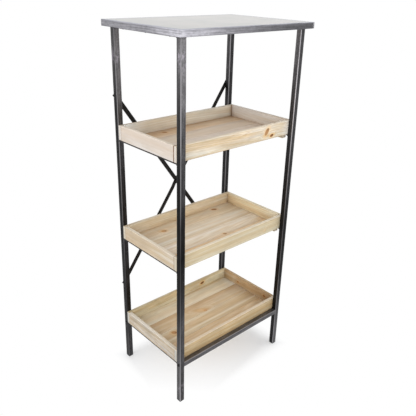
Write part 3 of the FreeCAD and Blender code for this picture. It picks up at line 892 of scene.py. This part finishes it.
def pine(node, grain, wide, wood, seed, top=None, edge_light=0.0, joint=None, glue=0.0, ends=None, marks=()):
    """Bare pine. grain is the axis of the fibres and wide the axis that the broad faces look along.

    wood holds the board's own look: the screen colour of its pale wood, with the painted light and
    shade of its place in the unit; the place of the tree's pith beside and above it, and how fast the
    pith climbs along it; how strongly the rings show; and its knots. A knot is its place along and
    across the board, its two radii, its tilt in degrees and how dark it is, below zero for a faint one
    that lies under the surface.
    top is the height of the upper edge, and edge_light how strong a painted highlight lies along it,
    below zero for painted shade. joint is the distance of the glued ends from the middle of the board,
    glue how much of it was squeezed out, and ends the tone of the sawn ends.
    A mark is the axis that its face looks along and the sign of that, the axis and place of the line
    it lies along, its reach and its strength; it darkens the face, mostly as painted shade in corners
    and joints, and below zero it is a paler patch instead.
    """
    tone, heart, figure, knots = wood
    material, shader, place = new_finish("pine_" + node)
    axes = axes_of(place)
    facing = axes_of(place.node.outputs["Normal"])
    side = "Y" if grain == "X" else "X"
    along, across, up = axes[grain], axes[side], axes["Z"]

    def drawn_noise(lengthwise, crosswise, detail, roughness, *shift):
        """Noise drawn out along the grain."""
        return grain_noise(place, cells(grain, lengthwise, crosswise), detail, roughness, shift)

    wander = drawn_noise(1.3, 7.0, 3.0, 0.45, seed, seed, 0)
    climb = drawn_noise(1.1, 6.0, 3.0, 0.45, 0, seed, seed)
    fine = drawn_noise(14, 260, 3.0, 0.55, seed, 0, seed)
    spacing = drawn_noise(0.9, 26, 2.0, 0.5, seed, 5, seed)
    broad = drawn_noise(3.0, 34, 3.0, 0.55, seed, seed, 3)
    band = drawn_noise(1.2, 22, 2.0, 0.5, 3, seed, seed)
    sap = drawn_noise(2.0, 45, 2.0, 0.5, seed, 11, 6)
    patch = drawn_noise(9.0, 17, 3.0, 0.6, seed, 8, seed)
    specks = drawn_noise(20, 330, 2.0, 0.5, 5, seed, 9)

    beside = sums("ADD", sums("SUBTRACT", across, heart[0]), product(sums("SUBTRACT", wander, 0.5), 0.045))
    rise = sums("ADD", product(along, heart[2]), product(sums("SUBTRACT", climb, 0.5), 0.04))
    above = sums("ADD", sums("SUBTRACT", up, heart[1]), rise)
    unevenness = sums("ADD", product(fine, 0.4), product(spacing, 2.4))
    rings = sums("ADD", sums("DIVIDE", hypotenuse(beside, above), RING_WIDTH), unevenness)
    shapes = [knot_shape(along, up if wide == side else across, knot) for knot in knots]
    for distance, run_in in shapes:
        rings = sums("ADD", rings, product(inverse(step_up(distance, 0.5, 4.0)), 2.0))
    turn = sums("FRACT", rings)
    late = product(step_up(turn, 0.15, 0.88), inverse(step_up(turn, 0.9, 1.0)))
    late = product(late, drift(broad, 0.16 * figure, 0.6 * figure))
    slow_turn = sums("FRACT", product(rings, 0.29))
    slow_growth = product(step_up(slow_turn, 0.05, 0.5), inverse(step_up(slow_turn, 0.55, 1.0)))
    flecks = product(step_up(specks, 0.56, 0.66), step_up(patch, 0.62 - 0.12 * figure, 0.78 - 0.12 * figure))

    strength = min(1.0, figure)
    amber = tinted(tone, 0.885, 0.8, 0.67)
    whitish = srgb(min(250, tone[0] * 1.03), min(248, tone[1] * 1.055), min(246, tone[2] * 1.11))
    rosy = tinted(tone, 0.98, 0.925, 0.87)
    colour = blended(product(step_up(band, 0.38, 0.62), strength), srgb(*tone), rosy)
    colour = blended(product(slow_growth, 0.36 * figure), colour, amber)
    colour = blended(late, colour, amber)
    colour = blended(product(step_up(sap, 0.5, 0.64), 0.42 * strength), colour, whitish)
    for noise, low, high, depth in ((broad, 0.3, 0.7, 15), (patch, 0.32, 0.62, 15), (fine, 0.28, 0.7, 20)):
        colour = shaded(colour, noise, [(low, 255 - depth * max(0.4, figure)), (high, 255)])
    colour = blended(product(flecks, 0.42 * figure), colour, tinted(tone, 0.7, 0.55, 0.4))
    for (distance, run_in), knot in zip(shapes, knots):
        colour = knotted(colour, tone, distance, run_in, knot[-1])
    end_grain = step_up(sums("ABSOLUTE", facing[grain]), 0.6, 0.9)
    sawn = srgb(*ends) if ends else tinted(tone, 0.84, 0.82, 0.84)
    colour = blended(product(end_grain, 0.85), colour, sawn)
    if top is not None:
        # Painted highlight along the upper edge; painted shade when edge_light is below zero.
        edge_highlight_or_shade = srgb(247, 238, 222) if edge_light > 0 else srgb(92, 76, 62)
        upper_edge = step_up(up, top - 0.003, top - 0.0004)
        colour = blended(product(upper_edge, abs(edge_light)), colour, edge_highlight_or_shade)
    if joint is not None:
        near_joint = step_up(sums("ABSOLUTE", along), joint - 0.0065, joint - 0.0025)
        share = spread(along, -0.1, 0.1, glue, 0.5 * glue)
        squeezed_out = product(near_joint, step_up(patch, 0.3, 0.5), share)
        colour = blended(squeezed_out, colour, srgb(104, 68, 38))
    for mark in marks:
        colour = marked(colour, tone, axes, facing, broad, mark)
    coat(shader, colour, 0.62, gloss=0.3)
    bumped(shader, sums("ADD", fine, product(late, 0.35)), 0.22, 0.0006)
    return material


def eased_board(node, rounding, material, body, slot):
    """Planed board with its edges eased with sandpaper, in the place of a node."""
    board = cuboid(node + "_pine", *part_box(node))
    rounded(board, lambda start, end: True, rounding, 3)
    fit(board, material, body, slot, node)


# Each board's tone, pith, figure and knots, and the marks on its seen face, which is the top of a
# plank and the front or left face of a board: the line's axis and place, the reach and the strength.
# The tone holds painted light and shade as well as the colour of the pale wood, set board by board
# for the light on each face. The darker marks are mostly painted shade in corners, at joints and
# near the boards; below zero a mark is a paler patch.
tray_wood = {
    "bottom": {
        "front_board": ((202, 182, 144), (-0.12, 0.1, 0.03), 1.2, [], []),
        "rear_board": ((234, 225, 193), (0.24, 0.14, -0.02), 1.5,
            [(0.1535, 0.271, 0.0135, 0.0072, 10, 1.15)],
            [("X", 0.108, 0.09, 0.22)]),
        "left_board": ((218, 218, 214), (-0.22, 0.05, 0.03), 1.8, [], []),
        "right_board": ((210, 189, 155), (0.24, 0.1, 0.03), 1.5,
            [(0.0715, 0.26, 0.0065, 0.0052, 0, 0.7), (-0.131, 0.267, 0.0075, 0.0058, 0, 1.15)],
            [("Y", -0.185, 0.19, 0.5), ("Y", 0.105, 0.03, -0.12)]),
        "floor_plank_1": ((229, 207, 173), (-0.12, 0.16, 0.04), 0.75, [], []),
        "floor_plank_2": ((223, 205, 173), (-0.02, 0.15, -0.03), 0.75,
            [(-0.225, -0.031, 0.014, 0.011, -42, 0.3)],
            [("Y", -0.067, 0.01, -0.42), ("Y", 0.0, 0.014, -0.3), ("Y", -0.052, 0.012, 0.14)]),
        "floor_plank_3": ((217, 195, 162), (0.03, 0.12, 0.02), 0.75,
            [(0.0105, 0.021, 0.031, 0.011, -26, -0.1), (0.021, 0.008, 0.009, 0.006, -42, 0.0)],
            [("Y", 0.0, 0.012, -0.22), ("Y", 0.0925, 0.02, 0.1), ("X", 0.33, 0.04, -0.3)]),
        "floor_plank_4": ((233, 223, 199), (0.15, 0.15, 0.02), 0.7, [],
            [("Y", 0.106, 0.022, -0.12), ("X", 0.33, 0.06, -0.5)]),
    },
    "middle": {
        "front_board": ((211, 203, 177), (-0.1, 0.62, -0.03), 0.8,
            [(0.211, 0.74, 0.006, 0.007, 0, -0.5)], []),
        "rear_board": ((230, 222, 201), (0.26, 0.6, 0.03), 1.0, [], []),
        "left_board": ((208, 199, 181), (-0.25, 0.55, 0.02), 0.9, [], []),
        "right_board": ((250, 240, 210), (0.22, 0.6, 0.04), 1.15, [], [("Y", 0.185, 0.095, 0.2)]),
        "floor_plank_1": ((240, 216, 179), (-0.16, 0.62, -0.02), 0.75, [], [("Y", -0.185, 0.1, 0.14)]),
        "floor_plank_2": ((240, 230, 212), (-0.04, 0.65, 0.04), 0.75,
            [(0.028, -0.087, 0.034, 0.008, 0, -0.7), (0.05, -0.086, 0.009, 0.006, -42, 0.6),
             (0.312, -0.082, 0.018, 0.009, 0, -0.1)],
            [("Y", -0.027, 0.016, -0.2), ("Y", -0.0925, 0.016, 0.18)]),
        "floor_plank_3": ((232, 222, 202), (0.05, 0.64, 0.02), 0.75, [], [("Y", 0.026, 0.016, -0.2)]),
        "floor_plank_4": ((227, 213, 189), (0.14, 0.63, 0.02), 0.75,
            [(-0.163, 0.124, 0.014, 0.009, -30, 0.15), (0.204, 0.159, 0.015, 0.009, -20, 0.7)],
            [("Y", 0.185, 0.012, 0.15)]),
    },
    "top": {
        "front_board": ((242, 234, 215), (-0.16, 1.02, 0.05), 1.5,
            [(0.1745, 1.243, 0.0185, 0.0098, 54, 0.5), (0.209, 1.221, 0.0115, 0.0062, 10, 1.0)],
            [("X", 0.346, 0.08, -0.55)]),
        "rear_board": ((224, 219, 206), (0.3, 1.05, 0.02), 0.8, [], [("X", -0.346, 0.15, -0.45)]),
        "left_board": ((211, 203, 195), (-0.27, 1.22, 0.03), 0.45, [], []),
        "right_board": ((222, 215, 206), (0.2, 1.0, -0.03), 0.6, [], []),
        "floor_plank_1": ((222, 209, 190), (-0.13, 1.1, 0.03), 0.75, [], []),
        "floor_plank_2": ((222, 211, 198), (-0.03, 1.13, -0.02), 0.35, [], []),
        "floor_plank_3": ((220, 207, 190), (0.08, 1.12, 0.02), 0.35, [], [("Y", 0.0925, 0.045, 0.18)]),
        "floor_plank_4": ((217, 195, 167), (0.12, 1.1, 0.03), 0.6,
            [(-0.136, 0.146, 0.011, 0.007, -42, 0.7)],
            [("Y", 0.185, 0.06, 0.34), ("Y", 0.185, 0.014, 0.25), ("Y", 0.0925, 0.022, -0.25)]),
    },
}
# Per tray: painted shade in the inner corners, how far it reaches along the floor's right end, and its
# strength beside the leg at the outer right end; the sawn ends' share of the left board's tone; how much glue
# shows.
corner_shade = {"top": (0.65, 0.25), "middle": (0.05, 0.1), "bottom": (0.04, 0.03)}
floor_end_shade = {"top": 0.018, "middle": 0.014, "bottom": 0.045}
right_end_shade = {"top": 0.2, "middle": 0.6, "bottom": 0.6}
end_tone = {"top": 0.94, "middle": 0.9, "bottom": 0.8}
glue_left = {"top": 0.95, "middle": 0.4, "bottom": 0.12}


def plank(node, level, wood, own_marks, seed):
    """Floor plank, with painted shade where its ends meet the boards, reaching further at its right end."""
    marks = [("X", -INNER_END, 0.006, 0.25), ("X", INNER_END, 0.006, 0.25), *own_marks]
    marks = [("Z", 1, *mark) for mark in (*marks, ("X", INNER_END, floor_end_shade[level], 0.17))]
    finish = pine(node, "X", "Z", wood, seed, marks=marks)
    eased_board(node, PLANK_ROUNDING, finish, f"tray_{level}", "pine_planks")


def tray_board(node, level, grain, inward, wood, own_marks, seed):
    """Long board in front or at the rear, its sawn ends seen at the corners, or a short one that is
    glued between their ends. inward is the side of the board that the tray lies on."""
    base, top = [corner[2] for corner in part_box(node)]
    if grain == "X":
        wide, inner_end, reaches, left_corner_shade = "Y", INNER_END, (0.009, 0.028), (0.008, 0.25)
        # Painted shade on the outer face: beside the leg at the right end and along the lower edge.
        outer_shade = [("Y", -inward, "X", OUTER_END, 0.006, right_end_shade[level]),
                       ("Y", -inward, "Z", base, 0.003, 0.6)]
        joinery = {"ends": [end_tone[level] * part for part in tray_wood[level]["left_board"][0]]}
    else:
        wide, inner_end, reaches, left_corner_shade = "X", INNER_SIDE, (0.008, 0.026), (0.006, 0.3)
        outer_shade = []
        joinery = {"joint": INNER_SIDE, "glue": glue_left[level]}
    # Painted shade along the floor and in the inner corners, then along the underside, before the board's own
    # marks.
    marks = [(wide, inward, "Z", base + FLOOR_TOP, 0.008, 0.15)]
    marks += [(wide, inward, grain, inner_end, *corner_shading) for corner_shading in zip(reaches, corner_shade[level])]
    marks += [(wide, inward, grain, -inner_end, *left_corner_shade)] + outer_shade
    marks += [("Z", -1, "Z", base, 0.003, 0.7)] + [(wide, -1, *mark) for mark in own_marks]
    # A painted highlight along the upper edge of the front and left boards, painted shade on the rear and
    # right ones.
    edge_light = PAINTED_EDGE_HIGHLIGHT if inward == 1 else PAINTED_EDGE_SHADE
    finish = pine(node, grain, wide, wood, seed, top, edge_light, marks=marks, **joinery)
    eased_board(node, BOARD_ROUNDING, finish, f"tray_{level}", "pine_boards")


for count, (level, boards) in enumerate(tray_wood.items()):
    for number, (part, (*wood, own_marks)) in enumerate(boards.items()):
        node = f"tray_{level}_{part}"
        seed = 10.0 * count + 1.7 * number
        if "plank" in part:
            plank(node, level, wood, own_marks, seed)
        else:
            grain = "X" if part in ("front_board", "rear_board") else "Y"
            inward = 1 if part in ("front_board", "left_board") else -1
            tray_board(node, level, grain, inward, wood, own_marks, seed)
    for side_name, side in SIDES:
        node = f"tray_{level}_{side_name}_batten"
        wood = (BATTEN_TONE_AND_SHADE, (0.3 * side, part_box(node)[1][2] - 0.2, 0.03), 0.8, [])
        finish = pine(node, "Y", "Z", wood, 50 + 3 * count + side)
        eased_board(node, BOARD_ROUNDING, finish, f"tray_{level}", "pine_battens")


# Nails: fine steel nails, their small heads flush with the wood. Two go through each end of the
# front and rear boards into the end boards, and four through each batten into the planks.

NAIL_RADIUS = 0.0011
NAIL_DEPTH = 0.001
NAIL_PROUD = 0.00015
NAIL_HEIGHTS = (0.017, 0.049)
PLANK_WIDTH = 0.0925
FIRST_PLANK_Y = -0.139
STAGGER = 0.004


def nailed(level, name, places, turn):
    """Sets nail heads at these places of a tray, as one piece."""
    heads = [copied(nail, "head", place, turn) for place in places]
    fit(joined(heads, f"tray_{level}_{name}_nails"), plated_zinc, f"tray_{level}", "fastener_steel")


nail = rod("nail", NAIL_RADIUS, -NAIL_DEPTH, NAIL_PROUD, 14)
rounded(nail, lies_at(NAIL_PROUD), EASED_RIM, 2)
for level in tray_wood:
    for end_name, end in ENDS:
        low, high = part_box(f"tray_{level}_{end_name}_board")
        nail_x = (OUTER_END + INNER_END) / 2
        nail_y = (low if end < 0 else high)[1]
        places = [(side * nail_x, nail_y, low[2] + height) for side in (-1, 1) for height in NAIL_HEIGHTS]
        nailed(level, end_name, places, (-end * math.pi / 2, 0, 0))
    for side_name, _ in SIDES:
        low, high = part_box(f"tray_{level}_{side_name}_batten")
        nail_x = (low[0] + high[0]) / 2
        places = [(nail_x + STAGGER * (-1) ** number, FIRST_PLANK_Y + PLANK_WIDTH * number, low[2])
                  for number in range(4)]
        nailed(level, side_name + "_batten", places, (math.pi, 0, 0))
bpy.data.objects.remove(nail)
